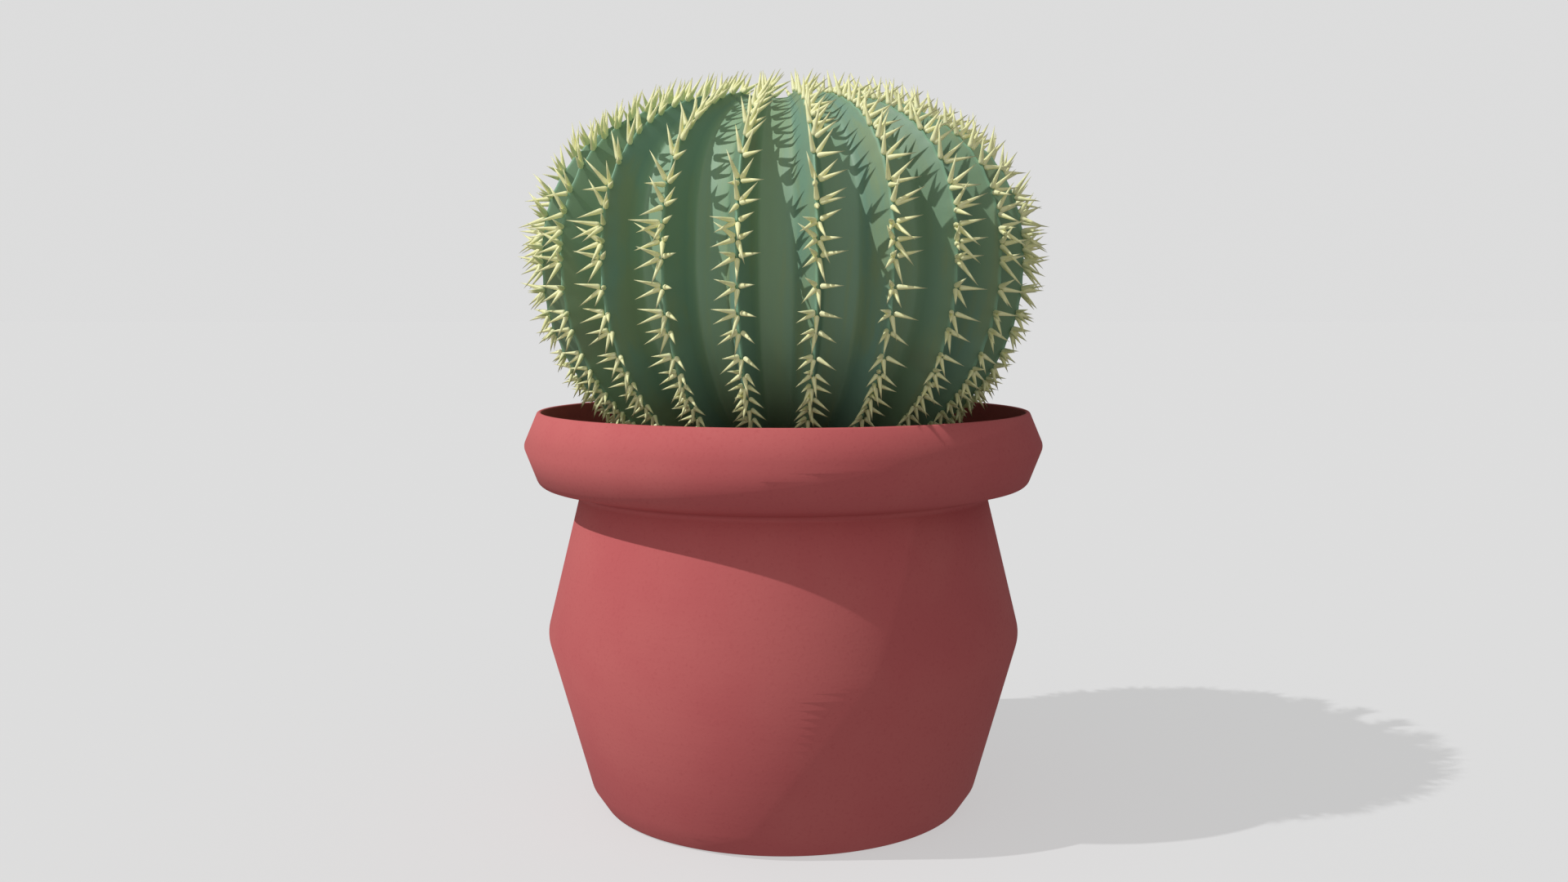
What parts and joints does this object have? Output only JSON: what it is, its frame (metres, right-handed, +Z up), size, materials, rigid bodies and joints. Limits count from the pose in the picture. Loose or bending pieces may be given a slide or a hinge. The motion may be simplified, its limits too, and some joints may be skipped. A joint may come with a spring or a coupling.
{
  "type": "potted round cactus",
  "caption": "Ball-shaped ribbed cactus with straw-yellow spines, potted in a wide-bellied dusty red clay pot.",
  "frame": {"origin": "the middle of the pot's foot, on the surface that the pot stands on", "axes": "+Z is up along the pot's axis; -Y is the side that faced the camera; +X is to the camera's right"},
  "size_m": [0.1798, 0.1798, 0.2496],
  "materials": {
    "clay": "matte",
    "soil": "matte",
    "flesh": "satin",
    "spines": "satin"
  },
  "bodies": {
    "root": {"pot": "clay", "soil": "soil", "cactus_stem": "flesh", "spine_row_01": "spines", "spine_row_02": "spines", "spine_row_03": "spines", "spine_row_04": "spines", "spine_row_05": "spines", "spine_row_06": "spines", "spine_row_07": "spines", "spine_row_08": "spines", "spine_row_09": "spines", "spine_row_10": "spines", "spine_row_11": "spines", "spine_row_12": "spines", "spine_row_13": "spines", "spine_row_14": "spines", "spine_row_15": "spines", "spine_row_16": "spines", "spine_row_17": "spines", "spine_row_18": "spines", "spine_row_19": "spines", "spine_row_20": "spines", "spine_row_21": "spines", "spine_row_22": "spines"}
  },
  "joints": []
}
